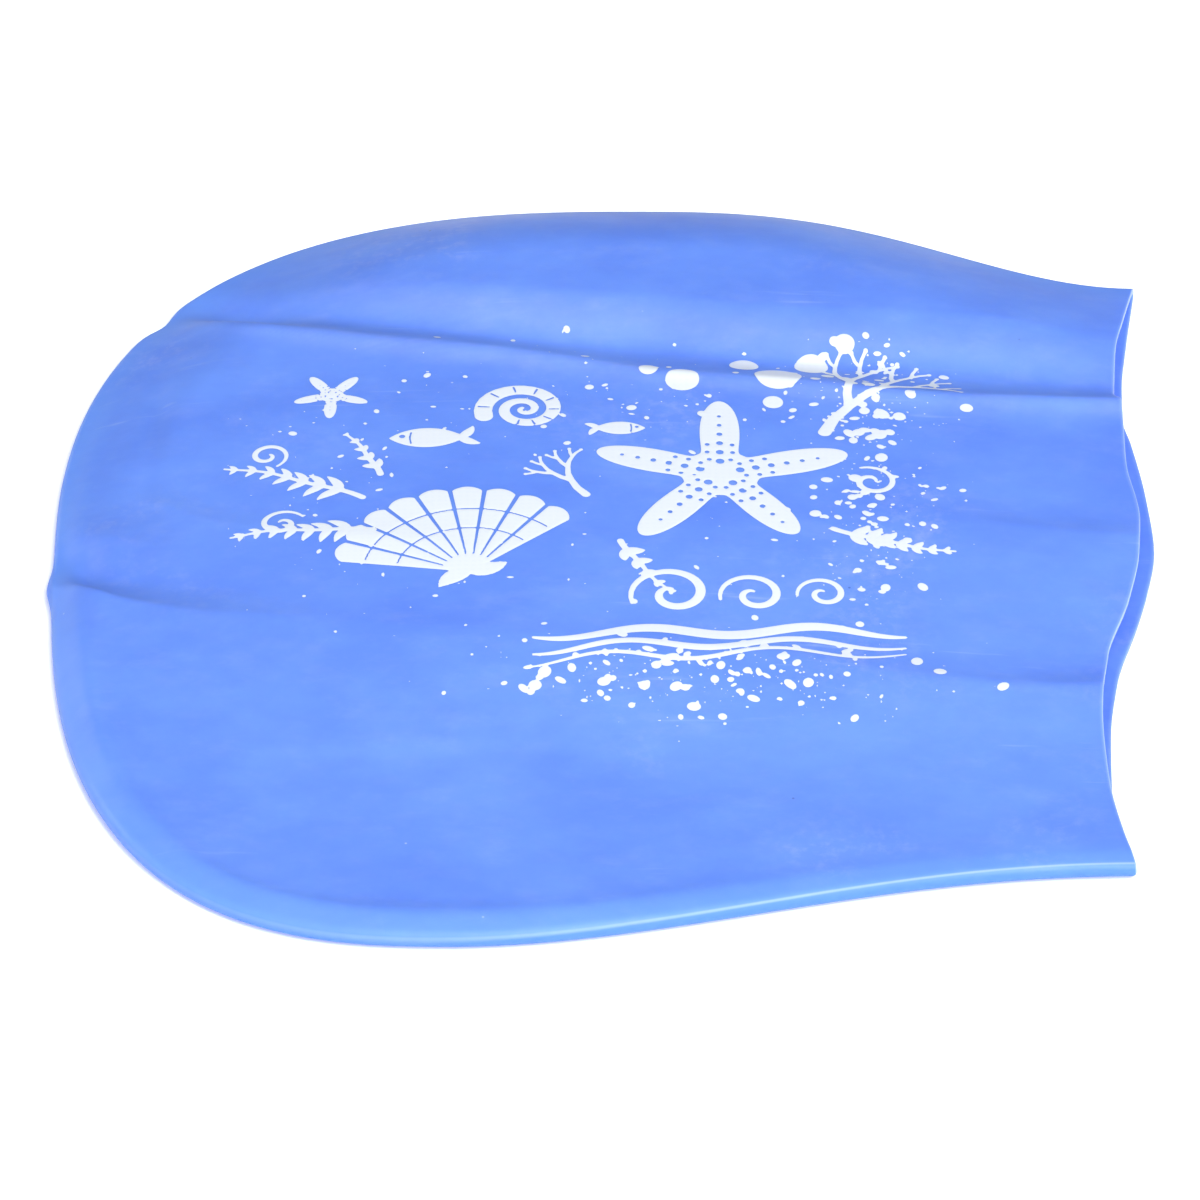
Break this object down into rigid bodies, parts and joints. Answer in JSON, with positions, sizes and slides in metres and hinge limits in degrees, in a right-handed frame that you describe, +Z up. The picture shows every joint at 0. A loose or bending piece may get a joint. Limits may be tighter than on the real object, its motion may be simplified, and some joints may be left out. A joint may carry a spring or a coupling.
{
  "type": "swim cap",
  "caption": "Moulded silicone swim cap lying flattened on its side: a deep dome with long soft pleats, an open mouth and a folded edge all round.",
  "frame": {"origin": "centre of the cap's outline, on the surface that it lies on", "axes": "+X from the crown towards the mouth, +Y from the near fold to the far fold, +Z up"},
  "size_m": [0.193, 0.2216, 0.0145],
  "materials": {
    "silicone": "satin blue silicone with a faint powdery bloom"
  },
  "bodies": {
    "root": {"cap_shell": "silicone"}
  },
  "joints": []
}
